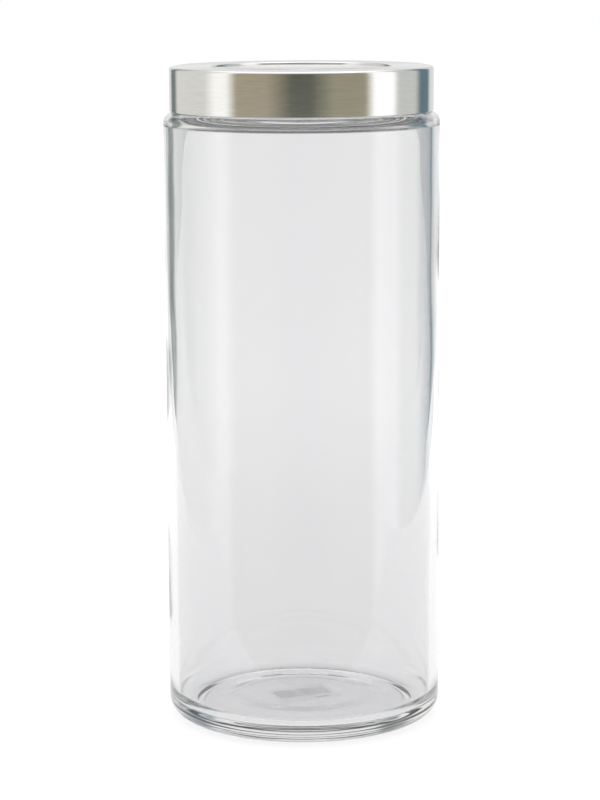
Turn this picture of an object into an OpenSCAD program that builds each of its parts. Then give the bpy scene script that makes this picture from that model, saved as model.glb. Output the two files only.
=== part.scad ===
// Tall glass storage canister with a quarter-turn lid.
// The lid is a steel cover over a moulded liner, with a clear window and a soft seal.
// Origin: centre of the bearing ring that the jar stands on. +Z is up.

/* [Jar body] */
// Outside diameter of the jar
jar_d = 108; // [88:0.5:140]
// Height of the glass from the bearing ring to the rim
jar_h = 254.4; // [90:0.1:330]
// Thickness of the side wall
wall_t = 3.7; // [2.5:0.1:5]
// Height of the inside floor at its outer corner
floor_z = 7; // [5:0.1:12]
// Outside radius of the heel
heel_r = 8; // [5:0.1:12]
// Inside radius of the floor corner
floor_corner_r = 6; // [3:0.1:9]
// Width of the flat ring that the jar stands on
bearing_w = 2.5; // [1.5:0.1:4]

/* [Base] */
// Height of the underside just inside the bearing ring
underside_z = 1.2; // [0.6:0.1:2]
// Width of the flat between the bearing ring and the pushed-up middle of the base
punt_step = 10.5; // [6:0.5:16]
// How far the middle of the base is pushed up
punt_rise = 1.3; // [0.8:0.1:2.5]
// Width of the slope round the pushed-up middle
punt_slope = 8; // [3:0.1:9]
// Length of the label stuck under the base
label_l = 26; // [16:0.5:34]
// Width of the label
label_w = 20; // [10:0.5:26]
// Angle that the label is turned by
label_turn = 24; // [-90:1:90]
// Thickness of the label
label_t = 0.15; // [0.1:0.01:0.3]

/* [Neck] */
// Step in radius from the body in to the neck
shoulder_step = 6.2; // [5.6:0.1:9]
// Outside radius of the shoulder
shoulder_r = 4; // [2.5:0.1:4.4]
// Height of the neck above the shoulder
neck_h = 13.7; // [13:0.1:18]
// Thickness of the neck wall
neck_t = 3.4; // [2.9:0.1:4.2]
// Radius of the rounded edges of the rim
rim_r = 1.2; // [0.8:0.1:1.35]

/* [Lug closure] */
// Number of ridges on the neck, and of lugs in the lid
lug_count = 4; // [3:1:6]
// How far a ridge stands out from the neck
ridge_out = 1.5; // [1:0.1:2]
// Height of a ridge where it meets the neck
ridge_root_h = 3; // [2.4:0.1:3.4]
// Height of a ridge at its tip
ridge_tip_h = 1.4; // [1:0.1:1.8]
// Height of the middle of a ridge above the shoulder
ridge_up = 7.9; // [7.4:0.1:8.6]
// Angle that a ridge spans, as a share of the angle between ridges
ridge_share = 0.58; // [0.5:0.01:0.62]
// Angle left between a stop and the lug that reaches it
stop_gap = 2; // [1:0.5:3]
// Angle that a lug spans, as a share of the angle between lugs
lug_share = 0.22; // [0.15:0.01:0.26]
// Height of a lug
lug_h = 2.6; // [1.8:0.1:3]
// How far the lid turns to lock, as a share of the angle between lugs
turn_share = 0.55; // [0.45:0.01:0.6]
// Gap between a lug and the glass, sideways
lug_gap = 0.4; // [0.3:0.05:0.6]
// Gap between a lug and the ridge above it when the lid is tight
lug_top_gap = 0.25; // [0.2:0.05:0.5]

/* [Lid] */
// Thickness of the steel
steel_t = 0.4; // [0.3:0.05:0.6]
// Outside radius of the edge round the top of the cover
cover_edge_r = 1.4; // [0.8:0.1:2.2]
// Height of the rolled hem at the bottom of the cover
hem_h = 1.9; // [1.5:0.1:2]
// Gap between the hem and the shoulder of the jar
hem_gap = 0.4; // [0.3:0.05:0.8]
// Width of the steel ring round the window
cover_ring_w = 16.4; // [14.5:0.1:26]
// How far the edge of the opening is turned down
lip_h = 1; // [0.7:0.1:1.2]
// Thickness of the window
window_t = 2; // [1.2:0.1:2.4]
// How far the middle of the window stands up into the opening
window_rise = 0.45; // [0.2:0.05:0.6]
// How far the window reaches under the cover
window_lap = 3.2; // [2.6:0.1:4]
// Thickness of the liner's skirt
liner_t = 1.35; // [1.1:0.05:1.8]
// Thickness of the liner's top
liner_top_t = 1.8; // [1.5:0.1:2.6]
// Thickness of the ledge and the pocket wall that hold the window
ledge_t = 1.3; // [1:0.1:1.6]
// Width of the ledge under the window
ledge_w = 1.8; // [1.2:0.1:2.4]
// Gap between the liner's skirt and the ridges
liner_gap = 0.5; // [0.4:0.05:0.8]
// Glue gap between the cover and the liner
glue_gap = 0.05; // [0.03:0.01:0.1]
// Gap round the window in its pocket
pocket_gap = 0.2; // [0.1:0.05:0.3]

/* [Seal] */
// Thickness of the seal
seal_t = 1.75; // [1.5:0.05:2.6]
// Gap round the seal in its groove
seal_gap = 0.2; // [0.15:0.05:0.3]
// How far the seal reaches inside the mouth
seal_lap = 0.8; // [0.5:0.1:1.2]
// Thickness of the rib inside the seal
rib_t = 1; // [0.8:0.1:1.2]
// How far the rib stands down from the liner's top
rib_h = 1.3; // [0.8:0.1:1.5]

/* [Hidden] */
arc_steps = 10;
round_fn = 180;
overlap = 0.05;

// Jar, from the outside in and from the ground up
jar_r = jar_d / 2;
inner_r = jar_r - wall_t;
bearing_out_r = jar_r - heel_r;
bearing_in_r = bearing_out_r - bearing_w;
punt_z = underside_z + punt_rise;
punt_r = bearing_in_r - punt_step;
punt_flat_r = punt_r - punt_slope;
base_edge_w = 3;
shoulder_z = jar_h - neck_h;
neck_r = jar_r - shoulder_step;
mouth_r = neck_r - neck_t;
neck_fillet_r = 0.9;
shoulder_in_r = 2.6;
mouth_in_r = 2.4;
shoulder_t = 2.9;
shoulder_in_z = shoulder_z - shoulder_t;

// Ridges on the neck and lugs in the lid
lug_pitch = 360 / lug_count;
ridge_span = lug_pitch * ridge_share;
lug_span = lug_pitch * lug_share;
lock_turn = lug_pitch * turn_share;
ridge_z = shoulder_z + ridge_up;
ridge_low_z = ridge_z - ridge_root_h / 2;
lug_top_z = ridge_low_z - lug_top_gap;
// Angle from the middle of a ridge to the far end of a lug that is locked under it
lug_far_angle = lug_pitch / 2 - lock_turn - lug_span / 2;
stop_span = ridge_span / 2 + lug_far_angle - stop_gap;
stop_r = neck_r + 0.75 * ridge_out;
lug_in_r = neck_r + lug_gap;

// Lid, from the neck out and from the rim up
liner_in_r = neck_r + ridge_out + liner_gap;
liner_out_r = liner_in_r + liner_t;
cover_in_r = liner_out_r + glue_gap;
cover_out_r = cover_in_r + steel_t;
seal_z = jar_h;
seal_out_r = liner_in_r - seal_gap;
seal_in_r = mouth_r - seal_lap;
liner_under_z = seal_z + seal_t + glue_gap;
liner_top_z = liner_under_z + liner_top_t;
cover_top_z = liner_top_z + steel_t;
cover_low_z = shoulder_z + hem_gap;
hem_t = 2 * steel_t + glue_gap;
hem_in_r = cover_out_r - hem_t;
window_hole_r = cover_out_r - cover_ring_w;
window_top_z = cover_top_z - lip_h;
window_z = window_top_z - window_t;
window_r = window_hole_r + window_lap;
pocket_r = window_r + pocket_gap;
ledge_in_r = pocket_r - ledge_w;
ledge_z = window_z - ledge_t;
rib_out_r = seal_in_r - seal_gap;
liner_low_z = cover_low_z + steel_t + glue_gap;

// Points along an arc about (x, y) from angle a to angle b
function arc(x, y, r, a, b) =
    [for (i = [0:arc_steps]) let (t = a + (b - a) * i / arc_steps) [x + r * cos(t), y + r * sin(t)]];

// Half a cosine wave from (x0, y0) to (x1, y1), for a slope that is level at both ends
function slope(x0, y0, x1, y1) =
    [for (i = [0:arc_steps]) let (s = i / arc_steps)
        [x0 + (x1 - x0) * s, y0 + (y1 - y0) * (1 - cos(180 * s)) / 2]];

// A ring sector about +Z with a rectangular section, centred on +X
module sector(r_in, r_out, z_low, z_high, span) {
    rotate([0, 0, -span / 2])
        rotate_extrude(angle = span, $fn = round_fn)
            polygon([[r_in, z_low], [r_out, z_low], [r_out, z_high], [r_in, z_high]]);
}

module jar_profile() {
    polygon(concat(
        // Underside, from the middle out to the bearing ring
        [[0, punt_z]],
        slope(punt_flat_r, punt_z, punt_r, underside_z),
        [[bearing_in_r - base_edge_w, underside_z]],
        [[bearing_in_r, 0]],
        // Heel, side and shoulder
        arc(bearing_out_r, heel_r, heel_r, -90, 0),
        arc(jar_r - shoulder_r, shoulder_z - shoulder_r, shoulder_r, 0, 90),
        arc(neck_r + neck_fillet_r, shoulder_z + neck_fillet_r, neck_fillet_r, 270, 180),
        // Rim
        arc(neck_r - rim_r, jar_h - rim_r, rim_r, 0, 90),
        arc(mouth_r + rim_r, jar_h - rim_r, rim_r, 90, 180),
        // Inside of the neck and shoulder
        arc(mouth_r + mouth_in_r, shoulder_in_z + mouth_in_r, mouth_in_r, 180, 270),
        arc(inner_r - shoulder_in_r, shoulder_in_z - shoulder_in_r, shoulder_in_r, 90, 0),
        // Inside wall and floor, which follows the pushed-up middle
        arc(inner_r - floor_corner_r, floor_z + floor_corner_r, floor_corner_r, 0, -90),
        slope(punt_r, floor_z, punt_flat_r, floor_z + punt_rise),
        [[0, floor_z + punt_rise]]
    ));
}

// One ridge that a lug locks under, with a stop below it at its tight end
module neck_ridge() {
    root_r = neck_r - overlap;
    tip_r = neck_r + ridge_out;
    rotate([0, 0, -ridge_span / 2])
        rotate_extrude(angle = ridge_span, $fn = round_fn)
            polygon([
                [root_r, ridge_low_z],
                [tip_r, ridge_z - ridge_tip_h / 2],
                [tip_r, ridge_z + ridge_tip_h / 2],
                [root_r, ridge_z + ridge_root_h / 2]
            ]);
    rotate([0, 0, -ridge_span / 2])
        rotate_extrude(angle = stop_span, $fn = round_fn)
            polygon([
                [root_r, lug_top_z - lug_h],
                [stop_r - 0.3, lug_top_z - lug_h + 0.3],
                [stop_r, ridge_low_z],
                [stop_r, ridge_z],
                [root_r, ridge_z]
            ]);
}

module glass_jar() {
    color([0.9, 0.93, 0.92, 0.4]) {
        rotate_extrude($fn = round_fn)
            jar_profile();
        for (i = [0:lug_count - 1])
            rotate([0, 0, lug_pitch * (i + 0.5)])
                neck_ridge();
    }
}

module base_label() {
    color([0.85, 0.86, 0.86])
        rotate([0, 0, label_turn])
            translate([-label_l / 2, -label_w / 2, punt_z - label_t])
                cube([label_l, label_w, label_t]);
}

module lid_seal() {
    edge = seal_t / 5;
    color([0.92, 0.92, 0.9])
        rotate_extrude($fn = round_fn)
            polygon([
                [seal_in_r + edge, seal_z],
                [seal_out_r - edge, seal_z],
                [seal_out_r, seal_z + edge],
                [seal_out_r, seal_z + seal_t - edge],
                [seal_out_r - edge, seal_z + seal_t],
                [seal_in_r + edge, seal_z + seal_t],
                [seal_in_r, seal_z + seal_t - edge],
                [seal_in_r, seal_z + edge]
            ]);
}

// Lug on the inside of the skirt, with its faces sloped for moulding
module liner_lug() {
    draft = 0.3;
    rotate([0, 0, -lug_span / 2])
        rotate_extrude(angle = lug_span, $fn = round_fn)
            polygon([
                [liner_in_r + overlap, lug_top_z - lug_h],
                [liner_in_r + overlap, lug_top_z],
                [lug_in_r, lug_top_z - draft],
                [lug_in_r, lug_top_z - lug_h + draft]
            ]);
}

module lid_liner() {
    skirt_low_r = hem_in_r - glue_gap;
    hem_clear_z = cover_low_z + hem_h + glue_gap;
    color([0.94, 0.94, 0.92]) {
        rotate_extrude($fn = round_fn)
            polygon([
                // Skirt, thinner where it passes the hem
                [liner_in_r, liner_low_z],
                [skirt_low_r, liner_low_z],
                [skirt_low_r, hem_clear_z],
                [liner_out_r, hem_clear_z + steel_t],
                [liner_out_r, liner_top_z - cover_edge_r],
                [liner_out_r - cover_edge_r, liner_top_z],
                // Window pocket and ledge
                [pocket_r, liner_top_z],
                [pocket_r, window_z],
                [ledge_in_r, window_z],
                [ledge_in_r, ledge_z],
                [pocket_r + ledge_t, ledge_z],
                [pocket_r + ledge_t, liner_under_z],
                // Rib and seal groove
                [rib_out_r - rib_t, liner_under_z],
                [rib_out_r - rib_t, liner_under_z - rib_h],
                [rib_out_r, liner_under_z - rib_h],
                [rib_out_r, liner_under_z],
                [liner_in_r, liner_under_z]
            ]);
        for (i = [0:lug_count - 1])
            rotate([0, 0, lug_pitch * i])
                liner_lug();
    }
}

module lid_window() {
    chamfer = 0.3;
    color([0.93, 0.94, 0.95, 0.4])
        rotate_extrude($fn = round_fn)
            polygon([
                [0, window_z],
                [window_r - chamfer, window_z],
                [window_r, window_z + chamfer],
                [window_r, window_top_z - chamfer],
                [window_r - chamfer, window_top_z],
                [window_hole_r - pocket_gap, window_top_z],
                [window_hole_r - pocket_gap, window_top_z + window_rise],
                [0, window_top_z + window_rise]
            ]);
}

module lid_cover() {
    inner_edge_r = cover_edge_r - steel_t;
    lip_r = 0.7;
    lip_in_r = lip_r - steel_t;
    hem_r = hem_t / 2;
    color([0.76, 0.76, 0.75])
        rotate_extrude($fn = round_fn)
            polygon(concat(
                // Outside: lip, top, edge and side
                [[window_hole_r, window_top_z]],
                arc(window_hole_r + lip_r, cover_top_z - lip_r, lip_r, 180, 90),
                arc(cover_out_r - cover_edge_r, cover_top_z - cover_edge_r, cover_edge_r, 90, 0),
                // Rolled hem
                arc(cover_out_r - hem_r, cover_low_z + hem_r, hem_r, 0, -180),
                [[hem_in_r, cover_low_z + hem_h], [cover_in_r, cover_low_z + hem_h]],
                // Inside: side, edge, top and lip
                arc(cover_out_r - cover_edge_r, cover_top_z - cover_edge_r, inner_edge_r, 0, 90),
                arc(window_hole_r + lip_r, cover_top_z - lip_r, lip_in_r, 90, 180),
                [[window_hole_r + steel_t, window_top_z]]
            ));
}

glass_jar();
base_label();
lid_seal();
lid_liner();
lid_window();
lid_cover();
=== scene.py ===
import math
import bpy
from mathutils import Matrix, Vector


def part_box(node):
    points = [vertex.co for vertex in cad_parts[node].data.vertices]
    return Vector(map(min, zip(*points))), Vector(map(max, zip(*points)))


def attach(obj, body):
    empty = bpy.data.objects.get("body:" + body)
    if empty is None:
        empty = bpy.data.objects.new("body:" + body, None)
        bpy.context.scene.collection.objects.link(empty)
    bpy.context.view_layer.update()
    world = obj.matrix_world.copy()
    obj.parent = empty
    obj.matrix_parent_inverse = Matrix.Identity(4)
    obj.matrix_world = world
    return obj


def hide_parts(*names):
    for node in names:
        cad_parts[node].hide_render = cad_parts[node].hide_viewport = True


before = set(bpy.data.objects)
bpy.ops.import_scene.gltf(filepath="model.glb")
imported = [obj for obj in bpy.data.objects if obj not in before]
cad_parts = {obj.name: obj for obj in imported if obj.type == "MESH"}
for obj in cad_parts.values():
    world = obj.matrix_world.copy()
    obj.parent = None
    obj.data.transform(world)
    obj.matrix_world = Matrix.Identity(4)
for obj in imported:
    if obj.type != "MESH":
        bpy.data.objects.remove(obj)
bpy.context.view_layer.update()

mm = 0.001
scene = bpy.context.scene
jarLow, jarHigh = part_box("glass_jar")
coverLow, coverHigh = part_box("lid_cover")
print("frame read: jar", [round(v / mm, 1) for v in jarHigh], "mm")


def linear(hexColour, alpha=1.0):
    # sRGB hex to the linear values that shaders take
    out = []
    for i in (0, 2, 4):
        part = int(hexColour[i:i + 2], 16) / 255
        out.append(part / 12.92 if part <= 0.04045 else ((part + 0.055) / 1.055) ** 2.4)
    return (*out, alpha)


def addNode(tree, kind, inputs=None, **settings):
    node = tree.nodes.new(kind)
    for name, value in settings.items():
        setattr(node, name, value)
    for key, value in (inputs or {}).items():
        if isinstance(value, bpy.types.NodeSocket):
            tree.links.new(value, node.inputs[key])
        else:
            node.inputs[key].default_value = value
    return node


def newMaterial(name):
    material = bpy.data.materials.new(name)
    material.use_nodes = True
    tree = material.node_tree
    tree.nodes.clear()
    output = tree.nodes.new("ShaderNodeOutputMaterial")
    return material, tree, output


def finishMesh(name, verts, faces, material, sharpDegrees=35):
    mesh = bpy.data.meshes.new(name)
    mesh.from_pydata(verts, [], faces)
    mesh.validate()
    mesh.materials.append(material)
    mesh.shade_smooth()
    mesh.set_sharp_from_angle(angle=math.radians(sharpDegrees))
    piece = bpy.data.objects.new(name, mesh)
    scene.collection.objects.link(piece)
    return piece


def roundedOutline(corners, closed, arcDegrees=9.0):
    # corners are (r, z, radius) in mm; each is rounded by its radius
    points = []
    count = len(corners)
    for i, (r, z, radius) in enumerate(corners):
        here = Vector((r, z))
        if radius <= 0 or (not closed and i in (0, count - 1)):
            points.append((r, z))
            continue
        before = Vector(corners[i - 1][:2]) - here
        after = Vector(corners[(i + 1) % count][:2]) - here
        half = before.angle(after) / 2
        cut = radius / math.tan(half)
        back = before.normalized()
        onward = after.normalized()
        centre = here + (back + onward).normalized() * (radius / math.sin(half))
        start = here + back * cut - centre
        turn = math.pi - 2 * half
        side = 1 if (back.y * onward.x - back.x * onward.y) > 0 else -1
        steps = max(3, math.ceil(math.degrees(turn) / arcDegrees))
        for k in range(steps + 1):
            angle = side * turn * k / steps
            points.append((centre.x + start.x * math.cos(angle) - start.y * math.sin(angle),
                           centre.y + start.x * math.sin(angle) + start.y * math.cos(angle)))
    return points


def fillOutline(points, closed, longest):
    # splits the long straight runs, so that waves and ridges have points to move
    out = []
    count = len(points)
    for i in range(count if closed else count - 1):
        (r0, z0), (r1, z1) = points[i], points[(i + 1) % count]
        steps = max(1, math.ceil(math.hypot(r1 - r0, z1 - z0) / longest(r0, z0, r1, z1)))
        out += [(r0 + (r1 - r0) * k / steps, z0 + (z1 - z0) * k / steps) for k in range(steps)]
    if not closed:
        out.append(points[-1])
    return out


def lathe(name, points, segments, material, shift=None, sharpDegrees=35):
    # points in mm, material on the left of travel; the ends close on the axis, or join up
    verts, faces, rings = [], [], []
    for r, z in points:
        if r < 1e-6:
            rings.append([len(verts)])
            verts.append((0, 0, z * mm))
            continue
        rings.append(list(range(len(verts), len(verts) + segments)))
        for k in range(segments):
            angle = 2 * math.pi * k / segments
            reach = shift(r, z, angle) if shift else r
            verts.append((reach * mm * math.cos(angle), reach * mm * math.sin(angle), z * mm))
    pairs = list(zip(rings, rings[1:]))
    if len(rings[0]) > 1 and len(rings[-1]) > 1:
        pairs.append((rings[-1], rings[0]))
    for low, high in pairs:
        for k in range(segments):
            n = (k + 1) % segments
            if len(low) == 1:
                faces.append((low[0], high[n], high[k]))
            elif len(high) == 1:
                faces.append((low[k], low[n], high[0]))
            else:
                faces.append((low[k], low[n], high[n], high[k]))
    return finishMesh(name, verts, faces, material, sharpDegrees)


def smoothStep(low, high, x):
    share = min(1, max(0, (x - low) / (high - low)))
    return share * share * (3 - 2 * share)


view = {
    "distance": 1.061,      # from the axis of the jar
    "height": 0.305,
    "lookDown": 9.54,       # degrees
    "pan": 0.06,
    "roll": -0.27,
    "lens": 122.1,
}
cameraData = bpy.data.cameras.new("camera")
cameraData.lens = view["lens"]
cameraData.sensor_width = 36
cameraData.clip_start = 0.05
camera = bpy.data.objects.new("camera", cameraData)
scene.collection.objects.link(camera)
camera.location = (0, -view["distance"], view["height"])
camera.rotation_mode = "XYZ"
camera.rotation_euler = (Matrix.Rotation(math.radians(view["pan"]), 3, "Z")
                         @ Matrix.Rotation(math.radians(90 - view["lookDown"]), 3, "X")
                         @ Matrix.Rotation(math.radians(view["roll"]), 3, "Z")).to_euler()
scene.camera = camera
scene.view_settings.view_transform = "Standard"
scene.view_settings.look = "None"
scene.cycles.max_bounces = 24
scene.cycles.transmission_bounces = 24
scene.cycles.glossy_bounces = 12
scene.cycles.transparent_max_bounces = 16
scene.cycles.caustics_refractive = True
scene.cycles.caustics_reflective = True
scene.cycles.blur_glossy = 0.3


def bottleGlass():
    # soda-lime glass, pressed and fire-polished: clear, with a soft grey cast in its thickness
    material, tree, output = newMaterial("sodaLimeGlass")
    place = addNode(tree, "ShaderNodeTexCoord")
    waves = addNode(tree, "ShaderNodeTexNoise", {"Vector": place.outputs["Object"], "Scale": 38.0,
                                                 "Detail": 1.0, "Roughness": 0.4})
    bump = addNode(tree, "ShaderNodeBump", {"Height": waves.outputs["Fac"], "Strength": 0.25,
                                            "Distance": 0.0004})
    # the mould leaves the neck and the outer edge of the foot a little duller than the wall
    split = addNode(tree, "ShaderNodeSeparateXYZ", {0: place.outputs["Object"]})
    flat = addNode(tree, "ShaderNodeCombineXYZ", {"X": split.outputs["X"], "Y": split.outputs["Y"]})
    radius = addNode(tree, "ShaderNodeVectorMath", {0: flat.outputs[0]}, operation="LENGTH")
    outerRing = addNode(tree, "ShaderNodeMapRange", {
        "Value": radius.outputs["Value"], "From Min": 41 * mm, "From Max": 45 * mm, "To Max": 0.06})
    neckDull = addNode(tree, "ShaderNodeMapRange", {
        "Value": split.outputs["Z"], "From Min": 236 * mm, "From Max": 241 * mm, "To Max": 0.08})
    footDull = addNode(tree, "ShaderNodeMapRange", {
        "Value": split.outputs["Z"], "From Min": 9 * mm, "From Max": 4 * mm})
    dull = addNode(tree, "ShaderNodeMath", {0: footDull.outputs[0], 1: outerRing.outputs[0],
                                            2: neckDull.outputs[0]}, operation="MULTIPLY_ADD")
    glass = addNode(tree, "ShaderNodeBsdfPrincipled", {
        "Base Color": linear("EBEBEC"), "Roughness": dull.outputs[0], "IOR": 1.52,
        "Transmission Weight": 1.0, "Normal": bump.outputs["Normal"]})
    tree.links.new(glass.outputs[0], output.inputs["Surface"])
    return material


def brushedStainless():
    # 18/8 stainless sheet, brushed round its axis: fine lines that stretch each reflection upright
    material, tree, output = newMaterial("brushedStainless")
    place = addNode(tree, "ShaderNodeTexCoord")
    split = addNode(tree, "ShaderNodeSeparateXYZ", {0: place.outputs["Object"]})
    flat = addNode(tree, "ShaderNodeCombineXYZ", {"X": split.outputs["X"], "Y": split.outputs["Y"]})
    radius = addNode(tree, "ShaderNodeVectorMath", {0: flat.outputs[0]}, operation="LENGTH")
    angle = addNode(tree, "ShaderNodeMath", {0: split.outputs["Y"], 1: split.outputs["X"]},
                    operation="ARCTAN2")
    slow = addNode(tree, "ShaderNodeMath", {0: angle.outputs[0], 1: 0.004}, operation="MULTIPLY")
    line = addNode(tree, "ShaderNodeCombineXYZ", {
        "X": radius.outputs["Value"], "Y": slow.outputs[0], "Z": split.outputs["Z"]})
    # brush lines are about 0.1 mm apart; drawn at 0.45 mm so that they show
    lines = addNode(tree, "ShaderNodeTexNoise", {"Vector": line.outputs[0], "Scale": 2200.0,
                                                 "Detail": 3.0, "Roughness": 0.6})
    shade = addNode(tree, "ShaderNodeMix", {0: lines.outputs["Fac"], 6: linear("CFCECD"),
                                            7: linear("E1E0DF")}, data_type="RGBA")
    rough = addNode(tree, "ShaderNodeMapRange", {"Value": lines.outputs["Fac"],
                                                 "To Min": 0.12, "To Max": 0.2})
    bump = addNode(tree, "ShaderNodeBump", {"Height": lines.outputs["Fac"], "Strength": 0.12,
                                            "Distance": 0.00005})
    around = addNode(tree, "ShaderNodeTangent", direction_type="RADIAL", axis="Z")
    steel = addNode(tree, "ShaderNodeBsdfPrincipled", {
        "Base Color": shade.outputs[2], "Metallic": 1.0, "Roughness": rough.outputs[0],
        "Anisotropic": 0.8, "Anisotropic Rotation": 0.25, "Normal": bump.outputs["Normal"],
        "Tangent": around.outputs[0]})
    tree.links.new(steel.outputs[0], output.inputs["Surface"])
    return material


def mouldedPlastic(name, tint, roughness, grain, subsurface=0.0):
    material, tree, output = newMaterial(name)
    place = addNode(tree, "ShaderNodeTexCoord")
    spark = addNode(tree, "ShaderNodeTexNoise", {"Vector": place.outputs["Object"],
                                                 "Scale": 1 / (grain * mm), "Detail": 2.0})
    cloud = addNode(tree, "ShaderNodeTexNoise", {"Vector": place.outputs["Object"], "Scale": 60.0})
    dark = tuple(c * 0.93 for c in linear(tint)[:3]) + (1,)
    shade = addNode(tree, "ShaderNodeMix", {0: cloud.outputs["Fac"], 6: dark, 7: linear(tint)},
                    data_type="RGBA")
    rough = addNode(tree, "ShaderNodeMapRange", {"Value": spark.outputs["Fac"],
                                                 "To Min": roughness - 0.06, "To Max": roughness + 0.06})
    bump = addNode(tree, "ShaderNodeBump", {"Height": spark.outputs["Fac"], "Strength": 0.2,
                                            "Distance": 0.00006})
    body = addNode(tree, "ShaderNodeBsdfPrincipled", {
        "Base Color": shade.outputs[2], "Roughness": rough.outputs[0],
        "Subsurface Weight": subsurface, "Subsurface Scale": 0.004, "Normal": bump.outputs["Normal"]})
    tree.links.new(body.outputs[0], output.inputs["Surface"])
    return material


def clearStyrene():
    # SAN plastic, injection moulded and polished: clear with a faint cool cast
    material, tree, output = newMaterial("clearStyrene")
    place = addNode(tree, "ShaderNodeTexCoord")
    flow = addNode(tree, "ShaderNodeTexNoise", {"Vector": place.outputs["Object"], "Scale": 45.0})
    bump = addNode(tree, "ShaderNodeBump", {"Height": flow.outputs["Fac"], "Strength": 0.1,
                                            "Distance": 0.0002})
    clear = addNode(tree, "ShaderNodeBsdfPrincipled", {
        "Base Color": linear("EFEDF3"), "Roughness": 0.02, "IOR": 1.57,
        "Transmission Weight": 1.0, "Normal": bump.outputs["Normal"]})
    tree.links.new(clear.outputs[0], output.inputs["Surface"])
    return material


def labelFilm():
    # clear polypropylene film with adhesive: a thin pale haze
    material, tree, output = newMaterial("labelFilm")
    place = addNode(tree, "ShaderNodeTexCoord")
    haze = addNode(tree, "ShaderNodeTexNoise", {"Vector": place.outputs["Object"], "Scale": 900.0})
    rough = addNode(tree, "ShaderNodeMapRange", {"Value": haze.outputs["Fac"],
                                                 "To Min": 0.3, "To Max": 0.5})
    film = addNode(tree, "ShaderNodeBsdfPrincipled", {
        "Base Color": linear("E9EAEA"), "Roughness": rough.outputs[0], "Alpha": 0.07})
    tree.links.new(film.outputs[0], output.inputs["Surface"])
    return material


glassFinish = bottleGlass()
steelFinish = brushedStainless()
# white polypropylene, spark-eroded mould: an even, softly matt skin
linerFinish = mouldedPlastic("whitePolypropylene", "F1F1ED", 0.42, 0.35)
# silicone, compression moulded: milky and matt, light creeps into its edges
sealFinish = mouldedPlastic("milkySilicone", "ECECE6", 0.5, 0.5, subsurface=0.25)
windowFinish = clearStyrene()
filmFinish = labelFilm()
# screen-printed ink: flat pale grey
inkFinish = mouldedPlastic("greyInk", "9A9C9E", 0.6, 0.3)
redInkFinish = mouldedPlastic("redInk", "D08078", 0.6, 0.3)
print("materials made")


def copiesRoundAxis(material):
    # copies of the incoming mesh, evenly spaced about +Z
    tree = bpy.data.node_groups.new("copiesRoundAxis", "GeometryNodeTree")
    tree.interface.new_socket("Geometry", in_out="INPUT", socket_type="NodeSocketGeometry")
    tree.interface.new_socket("Count", in_out="INPUT", socket_type="NodeSocketInt")
    tree.interface.new_socket("First Angle", in_out="INPUT", socket_type="NodeSocketFloat")
    tree.interface.new_socket("Loose Angle", in_out="INPUT", socket_type="NodeSocketFloat")
    tree.interface.new_socket("Geometry", in_out="OUTPUT", socket_type="NodeSocketGeometry")
    start = addNode(tree, "NodeGroupInput")
    points = addNode(tree, "GeometryNodePoints", {"Count": start.outputs["Count"]})
    index = addNode(tree, "GeometryNodeInputIndex")
    step = addNode(tree, "ShaderNodeMath", {0: 2 * math.pi, 1: start.outputs["Count"]},
                   operation="DIVIDE")
    turn = addNode(tree, "ShaderNodeMath", {0: index.outputs[0], 1: step.outputs[0],
                                            2: start.outputs["First Angle"]}, operation="MULTIPLY_ADD")
    loose = addNode(tree, "FunctionNodeRandomValue", {"Seed": 7}, data_type="FLOAT")
    tree.links.new(start.outputs["Loose Angle"], loose.inputs[3])
    total = addNode(tree, "ShaderNodeMath", {0: turn.outputs[0], 1: loose.outputs[1]},
                    operation="ADD")
    spin = addNode(tree, "ShaderNodeCombineXYZ", {"Z": total.outputs[0]})
    placed = addNode(tree, "GeometryNodeInstanceOnPoints", {
        "Points": points.outputs[0], "Instance": start.outputs["Geometry"],
        "Rotation": spin.outputs[0]})
    real = addNode(tree, "GeometryNodeRealizeInstances", {0: placed.outputs[0]})
    painted = addNode(tree, "GeometryNodeSetMaterial", {"Geometry": real.outputs[0],
                                                        "Material": material})
    addNode(tree, "NodeGroupOutput", {0: painted.outputs[0]})
    return tree


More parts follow.
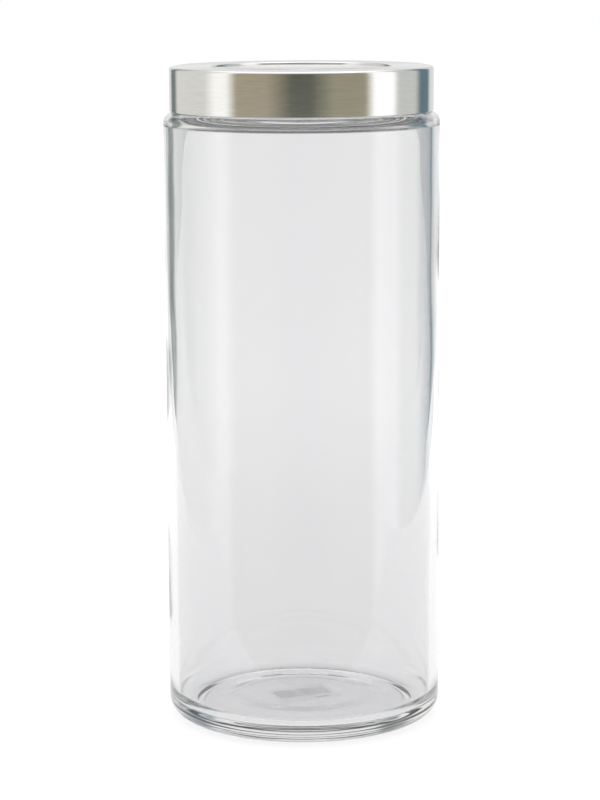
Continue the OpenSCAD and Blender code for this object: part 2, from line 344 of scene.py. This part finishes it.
def barRow(material):
    # upright bars along X with widths that vary, for the label
    tree = bpy.data.node_groups.new("barRow", "GeometryNodeTree")
    tree.interface.new_socket("Geometry", in_out="INPUT", socket_type="NodeSocketGeometry")
    tree.interface.new_socket("Count", in_out="INPUT", socket_type="NodeSocketInt")
    tree.interface.new_socket("Length", in_out="INPUT", socket_type="NodeSocketFloat")
    tree.interface.new_socket("Geometry", in_out="OUTPUT", socket_type="NodeSocketGeometry")
    start = addNode(tree, "NodeGroupInput")
    half = addNode(tree, "ShaderNodeMath", {0: start.outputs["Length"], 1: -0.5}, operation="MULTIPLY")
    gaps = addNode(tree, "ShaderNodeMath", {0: start.outputs["Count"], 1: 1.0}, operation="SUBTRACT")
    step = addNode(tree, "ShaderNodeMath", {0: start.outputs["Length"], 1: gaps.outputs[0]},
                   operation="DIVIDE")
    first = addNode(tree, "ShaderNodeCombineXYZ", {"X": half.outputs[0]})
    offset = addNode(tree, "ShaderNodeCombineXYZ", {"X": step.outputs[0]})
    row = addNode(tree, "GeometryNodeMeshLine", {"Count": start.outputs["Count"],
                                                 "Start Location": first.outputs[0],
                                                 "Offset": offset.outputs[0]})
    wide = addNode(tree, "FunctionNodeRandomValue", {"Seed": 3}, data_type="FLOAT")
    wide.inputs[2].default_value = 0.5
    wide.inputs[3].default_value = 1.5
    size = addNode(tree, "ShaderNodeCombineXYZ", {"X": wide.outputs[1], "Y": 1.0, "Z": 1.0})
    placed = addNode(tree, "GeometryNodeInstanceOnPoints", {
        "Points": row.outputs[0], "Instance": start.outputs["Geometry"], "Scale": size.outputs[0]})
    real = addNode(tree, "GeometryNodeRealizeInstances", {0: placed.outputs[0]})
    painted = addNode(tree, "GeometryNodeSetMaterial", {"Geometry": real.outputs[0],
                                                        "Material": material})
    addNode(tree, "NodeGroupOutput", {0: painted.outputs[0]})
    return tree


def grownMesh(name, source, tree, values):
    # runs a node tree on a small mesh and keeps the result as a plain piece
    modifier = source.modifiers.new("grow", "NODES")
    modifier.node_group = tree
    sockets = {s.name: s.identifier for s in tree.interface.items_tree if s.in_out == "INPUT"}
    for key, value in values.items():
        modifier[sockets[key]] = value
    evaluated = source.evaluated_get(bpy.context.evaluated_depsgraph_get())
    mesh = bpy.data.meshes.new_from_object(evaluated)
    bpy.data.objects.remove(source)
    mesh.name = name
    piece = bpy.data.objects.new(name, mesh)
    scene.collection.objects.link(piece)
    return piece


def block(name, outline, z0, z1, material):
    # prism over an outline in mm, counter-clockwise from above
    count = len(outline)
    verts = [(x * mm, y * mm, z * mm) for z in (z0, z1) for x, y in outline]
    faces = [tuple(range(count))[::-1], tuple(range(count, 2 * count))]
    faces += [(k, (k + 1) % count, count + (k + 1) % count, count + k) for k in range(count)]
    return finishMesh(name, verts, faces, material)


jar = {
    "wall": 3.7, "heelRadius": 8.0, "bearingWidth": 2.5, "undersideZ": 1.2,
    "puntZ": 2.5, "puntRadius": 33.0, "puntSlope": 8.0, "puntRound": 44.0, "puntRise": 1.3,
    "floorZ": 7.0, "floorCorner": 6.0,
    "shoulderZ": 240.7, "shoulderRadius": 4.0, "neckRadius": 47.8, "neckWall": 3.4,
    "rimRound": 1.25, "shoulderWall": 2.9,
    "bearingSlope": 3.6,    # run of the slope inside the bearing ring
    "standZ": 0.22,         # the stipple under the ring fills this
    "neckCorner": 0.9, "mouthCorner": 2.0, "shoulderInCorner": 2.6,
    "waveIn": 0.16,         # how far the inside wanders, mm
    "ridgeOut": 1.5, "ridgeCount": 4, "ridgeSpan": 52.2, "ridgeZ": 248.6, "ridgeHeight": 2.2,
    "stopSpan": 9.7, "stopLowZ": 244.5, "stopOut": 1.1,
    "stippleCount": 132,
}
outR = jarHigh[0] / mm
topZ = jarHigh[2] / mm
inR = outR - jar["wall"]
mouthR = jar["neckRadius"] - jar["neckWall"]
bearingOut = outR - jar["heelRadius"]
bearingIn = bearingOut - jar["bearingWidth"]
standZ = jar["standZ"]
puntFlat = jar["puntRadius"] - jar["puntSlope"]
ceilingZ = jar["shoulderZ"] - jar["shoulderWall"]
jarCorners = [
    (0, jar["puntZ"], 0), (puntFlat, jar["puntZ"], jar["puntRound"]),
    (jar["puntRadius"], jar["undersideZ"], jar["puntRound"]),
    (bearingIn - jar["bearingSlope"], jar["undersideZ"], 8), (bearingIn, standZ, 2),
    (outR, standZ, jar["heelRadius"] - 0.1), (outR, jar["shoulderZ"], jar["shoulderRadius"]),
    (jar["neckRadius"], jar["shoulderZ"], jar["neckCorner"]),
    (jar["neckRadius"], topZ, jar["rimRound"]),
    (mouthR, topZ, jar["rimRound"]), (mouthR, ceilingZ, jar["mouthCorner"]),
    (inR, ceilingZ, jar["shoulderInCorner"]),
    (inR, jar["floorZ"], jar["floorCorner"]), (jar["puntRadius"], jar["floorZ"], jar["puntRound"]),
    (puntFlat, jar["floorZ"] + jar["puntRise"], jar["puntRound"]), (0, jar["floorZ"] + jar["puntRise"], 0),
]


def jarStep(r0, z0, r1, z1):
    if r0 > mouthR + 1 and z0 > 243 and z1 > z0:
        return 0.35         # the outside of the neck carries the ridges
    return 4.0 if abs(z1 - z0) > 60 else 6.0


def jarShift(r, z, angle):
    if abs(r - jar["neckRadius"]) < 0.01 and z > 243.5:
        pitch = 360 / jar["ridgeCount"]
        along = (math.degrees(angle) % pitch) - pitch / 2      # 0 at the middle of a ridge
        half = jar["ridgeSpan"] / 2
        firstEnd = smoothStep(-half - 0.6, -half + 0.8, along)
        ends = firstEnd * (1 - smoothStep(half - 2.4, half + 0.6, along))
        halfHigh = jar["ridgeHeight"] / 2
        up = 1 - smoothStep(halfHigh - 0.55, halfHigh + 0.4, abs(z - jar["ridgeZ"]))
        out = jar["ridgeOut"] * ends * up
        stopEnd = -half + jar["stopSpan"]
        inStop = firstEnd * (1 - smoothStep(stopEnd - 1.2, stopEnd + 0.2, along))
        upStop = (smoothStep(jar["stopLowZ"] - 0.3, jar["stopLowZ"] + 0.6, z)
                  * (1 - smoothStep(jar["ridgeZ"] - 0.5, jar["ridgeZ"] + 0.5, z)))
        return r + max(out, jar["stopOut"] * inStop * upStop)
    if abs(r - inR) < 0.01 and 14 < z < 232:
        fade = smoothStep(14, 40, z) * (1 - smoothStep(205, 232, z))
        wave = (math.sin(z / 17.0 + 2 * angle + 0.6) + 0.7 * math.sin(z / 9.5 - 3 * angle + 2.1)
                + 0.5 * math.sin(z / 31.0 + angle)) / 2.2
        return r - jar["waveIn"] * fade * wave
    return r


jarOutline = fillOutline(roundedOutline(jarCorners, closed=False, arcDegrees=6), False, jarStep)
jarPiece = lathe("jarGlass", jarOutline, 288, glassFinish, jarShift, sharpDegrees=60)
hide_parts("glass_jar")
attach(jarPiece, "jar")
print("jar made:", len(jarPiece.data.polygons), "faces")

tick = {"length": 1.7, "width": 0.7, "deep": 0.3}
tickAt = (bearingOut + bearingIn) / 2
tickOutline = [(tickAt + tick["length"] / 2 * math.cos(angle), tick["width"] / 2 * math.sin(angle))
               for angle in (2 * math.pi * k / 10 for k in range(10))]
tickSource = block("tickSource", tickOutline, 0.0, tick["deep"], glassFinish)
stipple = grownMesh("bearingStipple", tickSource, copiesRoundAxis(glassFinish),
                    {"Count": jar["stippleCount"], "First Angle": 0.0, "Loose Angle": 0.004})
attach(stipple, "jar")


label = {"length": 26.0, "width": 20.0, "corner": 1.5, "turn": 24.0, "barCount": 14,
         "barLength": 10.0, "barWidth": 0.6, "rowLength": 21.0, "rowShift": 2.0,
         "stripeAt": (5.0, -6.5), "stripeSize": (6.0, 1.1)}
labelLow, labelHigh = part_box("base_label")


def turned(outline, degrees):
    cosine, sine = math.cos(math.radians(degrees)), math.sin(math.radians(degrees))
    return [(x * cosine - y * sine, x * sine + y * cosine) for x, y in outline]


def roundedRect(length, width, radius, steps=5):
    out = []
    for signX, signY, first in ((1, -1, -90), (1, 1, 0), (-1, 1, 90), (-1, -1, 180)):
        for k in range(steps + 1):
            angle = math.radians(first + 90 * k / steps)
            out.append((signX * (length / 2 - radius) + radius * math.cos(angle),
                        signY * (width / 2 - radius) + radius * math.sin(angle)))
    return out


filmOutline = roundedRect(label["length"], label["width"], label["corner"])
film = block("labelFilm", turned(filmOutline, label["turn"]),
             labelLow[2] / mm, labelHigh[2] / mm - 0.02, filmFinish)
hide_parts("base_label")
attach(film, "jar")


def rectangle(centreX, centreY, length, width):
    return [(centreX + signX * length / 2, centreY + signY * width / 2)
            for signX, signY in ((-1, -1), (1, -1), (1, 1), (-1, 1))]


inkLow, inkHigh = labelLow[2] / mm - 0.05, labelLow[2] / mm - 0.005
barSource = block("barSource", rectangle(0, label["rowShift"], label["barWidth"], label["barLength"]),
                  inkLow, inkHigh, inkFinish)
bars = grownMesh("labelBars", barSource, barRow(inkFinish),
                 {"Count": label["barCount"], "Length": label["rowLength"] * mm})
bars.data.transform(Matrix.Rotation(math.radians(label["turn"]), 4, "Z"))
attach(bars, "jar")
stripeOutline = rectangle(*label["stripeAt"], *label["stripeSize"])
stripe = block("labelStripe", turned(stripeOutline, label["turn"]), inkLow, inkHigh, redInkFinish)
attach(stripe, "jar")
print("label made")


sealLow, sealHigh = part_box("lid_seal")
seal = {"inner": 43.6, "outer": sealHigh[0] / mm, "round": 0.45, "grooveIn": 45.1, "grooveOut": 47.1,
        "grooveDeep": 0.25, "grooveSlope": 0.3}
sealFoot, sealTop = sealLow[2] / mm, sealHigh[2] / mm
grooveTop = sealFoot + seal["grooveDeep"]
sealPiece = lathe("sealRing", roundedOutline([
    (seal["inner"], sealTop, seal["round"]), (seal["inner"], sealFoot, seal["round"]),
    (seal["grooveIn"], sealFoot, 0.2), (seal["grooveIn"] + seal["grooveSlope"], grooveTop, 0.2),
    (seal["grooveOut"] - seal["grooveSlope"], grooveTop, 0.2), (seal["grooveOut"], sealFoot, 0.2),
    (seal["outer"], sealFoot, seal["round"]), (seal["outer"], sealTop, seal["round"])], True),
    192, sealFinish)
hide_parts("lid_seal")
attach(sealPiece, "seal")


linerLow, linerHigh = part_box("lid_liner")
windowLow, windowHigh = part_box("lid_window")
coverR = coverHigh[0] / mm
coverTop = coverHigh[2] / mm
coverLowZ = coverLow[2] / mm
cover = {"steel": 0.4, "edgeRadius": 1.2, "ring": 16.4, "lipRadius": 0.7, "hemHeight": 1.9,
         "windowRise": 0.45}
holeR = coverR - cover["ring"]
windowTop = windowHigh[2] / mm
lipLow = windowTop - cover["windowRise"]
steel = cover["steel"]
hemIn = coverR - 2 * steel - 0.05
coverPiece = lathe("coverSteel", roundedOutline([
    (holeR + steel, lipLow, 0.1), (holeR, lipLow, 0.12), (holeR, coverTop, cover["lipRadius"]),
    (coverR, coverTop, cover["edgeRadius"]), (coverR, coverLowZ, 0.4),
    (hemIn, coverLowZ, 0.35), (hemIn, coverLowZ + cover["hemHeight"], 0.08),
    (coverR - steel, coverLowZ + cover["hemHeight"], 0.05),
    (coverR - steel, coverTop - steel, cover["edgeRadius"] - steel),
    (holeR + steel, coverTop - steel, 0.3)][::-1], True, arcDegrees=7.5), 256, steelFinish)
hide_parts("lid_cover")
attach(coverPiece, "lid")

liner = {"skirtIn": 49.8, "skirtOut": linerHigh[0] / mm, "under": 256.2, "pocket": 38.6, "ledge": 36.8,
         "wall": 39.9, "ribOut": 43.4, "ribIn": 42.4, "ribHigh": 1.3, "lugCount": 4, "lugSpan": 19.8,
         "lugIn": 48.2, "lugTop": 246.85, "lugHeight": 2.6, "ledgeThick": 1.3,
         "gussetCount": 36, "gussetHalfWide": 0.35, "gussetHigh": 0.9}
windowZ = windowLow[2] / mm
ledgeZ = windowZ - liner["ledgeThick"]
linerTop = linerHigh[2] / mm
hemClear = coverLowZ + cover["hemHeight"] + 0.05
linerPiece = lathe("linerBody", roundedOutline([
    (liner["skirtIn"], linerLow[2] / mm, 0.25), (hemIn - 0.05, linerLow[2] / mm, 0.15),
    (hemIn - 0.05, hemClear, 0.05), (liner["skirtOut"], hemClear + steel, 0.05),
    (liner["skirtOut"], linerTop, cover["edgeRadius"]), (liner["pocket"], linerTop, 0.1),
    (liner["pocket"], windowZ, 0.05), (liner["ledge"], windowZ, 0.3), (liner["ledge"], ledgeZ, 0.4),
    (liner["wall"], ledgeZ, 0.4), (liner["wall"], liner["under"], 0.4),
    (liner["ribIn"], liner["under"], 0.3), (liner["ribIn"], liner["under"] - liner["ribHigh"], 0.2),
    (liner["ribOut"], liner["under"] - liner["ribHigh"], 0.2), (liner["ribOut"], liner["under"], 0.1),
    (liner["skirtIn"], liner["under"], 0.3)], True), 192, linerFinish)
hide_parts("lid_liner")
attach(linerPiece, "lid")


def arcBlock(name, rIn, rOut, span, z0, z1, slopeEnds, material, steps=10):
    # a piece of a ring about +X, with its inner face shorter and lower than its root
    verts, faces = [], []
    for k in range(steps + 1):
        for r, z, cut in ((rOut, z0, 0), (rOut, z1, 0),
                          (rIn, z1 - 0.3, slopeEnds), (rIn, z0 + 0.3, slopeEnds)):
            angle = math.radians((k / steps - 0.5) * (span - 2 * cut))
            verts.append((r * mm * math.cos(angle), r * mm * math.sin(angle), z * mm))
    for k in range(steps):
        first = 4 * k
        for side in range(4):
            following = (side + 1) % 4
            faces.append((first + side, first + following, first + 4 + following, first + 4 + side))
    faces.append((3, 2, 1, 0))
    faces.append((4 * steps, 4 * steps + 1, 4 * steps + 2, 4 * steps + 3))
    return finishMesh(name, verts, faces, material, sharpDegrees=40)


lugSource = arcBlock("lugSource", liner["lugIn"], liner["skirtIn"] + 0.3, liner["lugSpan"],
                     liner["lugTop"] - liner["lugHeight"], liner["lugTop"], 1.2, linerFinish)
lugs = grownMesh("linerLugs", lugSource, copiesRoundAxis(linerFinish),
                 {"Count": liner["lugCount"], "First Angle": 0.0, "Loose Angle": 0.0})
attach(lugs, "lid")
gussetIn, gussetOut, gussetHalf = liner["wall"] - 0.1, liner["ribIn"] + 0.1, liner["gussetHalfWide"]
gussetSource = block("gussetSource", [(gussetIn, -gussetHalf), (gussetOut, -gussetHalf),
                                      (gussetOut, gussetHalf), (gussetIn, gussetHalf)],
                     liner["under"] - liner["gussetHigh"], liner["under"] + 0.1, linerFinish)
gussets = grownMesh("linerGussets", gussetSource, copiesRoundAxis(linerFinish),
                    {"Count": liner["gussetCount"], "First Angle": 0.05, "Loose Angle": 0.0})
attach(gussets, "lid")

window = {"gateRadius": 2.2, "gateSlope": 0.6, "gateDeep": 0.25, "holeGap": 0.2}
windowR = windowHigh[0] / mm
gateZ = windowZ + window["gateDeep"]
plateauR = holeR - window["holeGap"]
windowPiece = lathe("windowDisc", roundedOutline([
    (0, gateZ, 0), (window["gateRadius"], gateZ, 0.1),
    (window["gateRadius"] + window["gateSlope"], windowZ, 0.2), (windowR, windowZ, 0.3),
    (windowR, lipLow, 0.3), (plateauR, lipLow, 0.05), (plateauR, windowTop, 0.2),
    (0, windowTop, 0)], False), 160, windowFinish)
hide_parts("lid_window")
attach(windowPiece, "lid")
print("lid made")


studio = {
    "gain": 1.5,            # what the steel takes away, given back
    "aboveAndBelow": "D8D8D8", "paperInFront": "D4D4D4",
    # the floor's own glow near the jar and far off: the lower glow near the jar is painted shade
    "floorPaintedShadeGlow": 0.78, "floorFar": 0.94, "floorPaper": 0.3,
    "lightPlace": (0.0, 0.2, 1.6), "lightSize": (1.8, 1.5), "lightPower": 8.0,
    # what stands round the jar: from and to in degrees from the camera's side,
    # positive to its right
    "cards": [
        (-180, -156, "C8C8C8"),     # white paper behind
        (-152, -142, "687270"),     # dark flag on the left
        (-136, -92, "CCCCC8"),      # wall
        (-80, -68, "F4F4F0"),       # narrow soft light
        (-58, -30, "98907C"),       # front room, brown
        (-8, 8, "54564C"),          # camera and its stand
        (28, 57, "8C8874"),         # front room, olive
        (66, 86, "FFFFFF"),         # wide soft light
        (92, 116, "BCBEBA"),        # wall
        (125, 142, "5C7078"),       # dark flag on the right
        (147, 180, "C8C8C8"),       # white paper behind
    ],
}
world = bpy.data.worlds.new("studio")
scene.world = world
world.use_nodes = True
worldTree = world.node_tree
worldTree.nodes.clear()
skyPlace = addNode(worldTree, "ShaderNodeTexCoord")
split = addNode(worldTree, "ShaderNodeSeparateXYZ", {0: skyPlace.outputs["Generated"]})
back = addNode(worldTree, "ShaderNodeMath", {0: split.outputs["Y"], 1: -1.0}, operation="MULTIPLY")
azimuth = addNode(worldTree, "ShaderNodeMath", {0: split.outputs["X"], 1: back.outputs[0]},
                  operation="ARCTAN2")
share = addNode(worldTree, "ShaderNodeMapRange", {
    "Value": azimuth.outputs[0], "From Min": -math.pi, "From Max": math.pi})
ramp = addNode(worldTree, "ShaderNodeValToRGB", {"Fac": share.outputs[0]})
stops = ramp.color_ramp.elements
stops.remove(stops[1])
cardEdges = [(edge, card[2]) for card in studio["cards"] for edge in card[:2]]
for order, (degrees, colour) in enumerate(cardEdges):
    at = (degrees + 180) / 360
    stop = stops[0] if order == 0 else stops.new(at)
    stop.position = at
    stop.color = linear(colour)
high = addNode(worldTree, "ShaderNodeMapRange", {
    "Value": split.outputs["Z"], "From Min": 0.45, "From Max": 0.8})
low = addNode(worldTree, "ShaderNodeMapRange", {
    "Value": split.outputs["Z"], "From Min": -0.2, "From Max": -0.45})
far = addNode(worldTree, "ShaderNodeMath", {0: high.outputs[0], 1: low.outputs[0]}, operation="MAXIMUM")
aroundColour = addNode(worldTree, "ShaderNodeMix", {
    0: far.outputs[0], 6: ramp.outputs["Color"], 7: linear(studio["aboveAndBelow"])}, data_type="RGBA")
# light that comes through the glass from the front room meets white paper there
side = addNode(worldTree, "ShaderNodeMath", {0: azimuth.outputs[0]}, operation="ABSOLUTE")
front = addNode(worldTree, "ShaderNodeMapRange", {
    "Value": side.outputs[0], "From Min": math.radians(68), "From Max": math.radians(58)})
path = addNode(worldTree, "ShaderNodeLightPath")
screened = addNode(worldTree, "ShaderNodeMath", {
    0: front.outputs[0], 1: path.outputs["Is Transmission Ray"]}, operation="MULTIPLY")
seenColour = addNode(worldTree, "ShaderNodeMix", {
    0: screened.outputs[0], 6: aroundColour.outputs[2], 7: linear(studio["paperInFront"])}, data_type="RGBA")
cards = addNode(worldTree, "ShaderNodeBackground", {
    "Color": seenColour.outputs[2], "Strength": studio["gain"]})
plain = addNode(worldTree, "ShaderNodeBackground", {"Color": linear("FFFFFF"), "Strength": 1.0})
choose = addNode(worldTree, "ShaderNodeMixShader", {
    0: path.outputs["Is Camera Ray"], 1: cards.outputs[0], 2: plain.outputs[0]})
addNode(worldTree, "ShaderNodeOutputWorld", {"Surface": choose.outputs[0]})

floorMaterial, floorTree, floorOut = newMaterial("floorPaper")
# the paper glows by emission, a painted light; its glow is painted a little lower round the jar than far
# behind it, a painted shade
floorPlace = addNode(floorTree, "ShaderNodeTexCoord")
away = addNode(floorTree, "ShaderNodeVectorMath", {0: floorPlace.outputs["Object"]}, operation="LENGTH")
floorPaintedShade = addNode(floorTree, "ShaderNodeMapRange", {
    "Value": away.outputs["Value"], "From Min": 0.05, "From Max": 0.9,
    "To Min": studio["floorPaintedShadeGlow"], "To Max": studio["floorFar"]}, interpolation_type="SMOOTHSTEP")
glow = addNode(floorTree, "ShaderNodeEmission", {
    "Color": linear("FFFFFF"), "Strength": floorPaintedShade.outputs[0]})
paperTint = tuple(studio["floorPaper"] * part for part in linear("F4F4F4")[:3]) + (1,)
paper = addNode(floorTree, "ShaderNodeBsdfDiffuse", {"Color": paperTint})
glowingPaper = addNode(floorTree, "ShaderNodeAddShader", {0: glow.outputs[0], 1: paper.outputs[0]})
floorTree.links.new(glowingPaper.outputs[0], floorOut.inputs["Surface"])
floorSize = {"nearSide": 0.41, "farSide": 0.95, "front": -0.14, "back": 6.0}
floor = finishMesh("floor", [
    (-floorSize["nearSide"], floorSize["front"], 0), (floorSize["nearSide"], floorSize["front"], 0),
    (floorSize["farSide"], floorSize["back"], 0), (-floorSize["farSide"], floorSize["back"], 0)],
    [(0, 1, 2, 3)], floorMaterial)


lightData = bpy.data.lights.new("overhead", "AREA")
lightData.shape = "RECTANGLE"
lightData.size, lightData.size_y = studio["lightSize"]
lightData.energy = studio["lightPower"]
light = bpy.data.objects.new("overhead", lightData)
scene.collection.objects.link(light)
light.location = studio["lightPlace"]
aim = Vector((0, 0, 0.12)) - Vector(studio["lightPlace"])
light.rotation_euler = aim.to_track_quat("-Z", "Y").to_euler()
print("studio made")
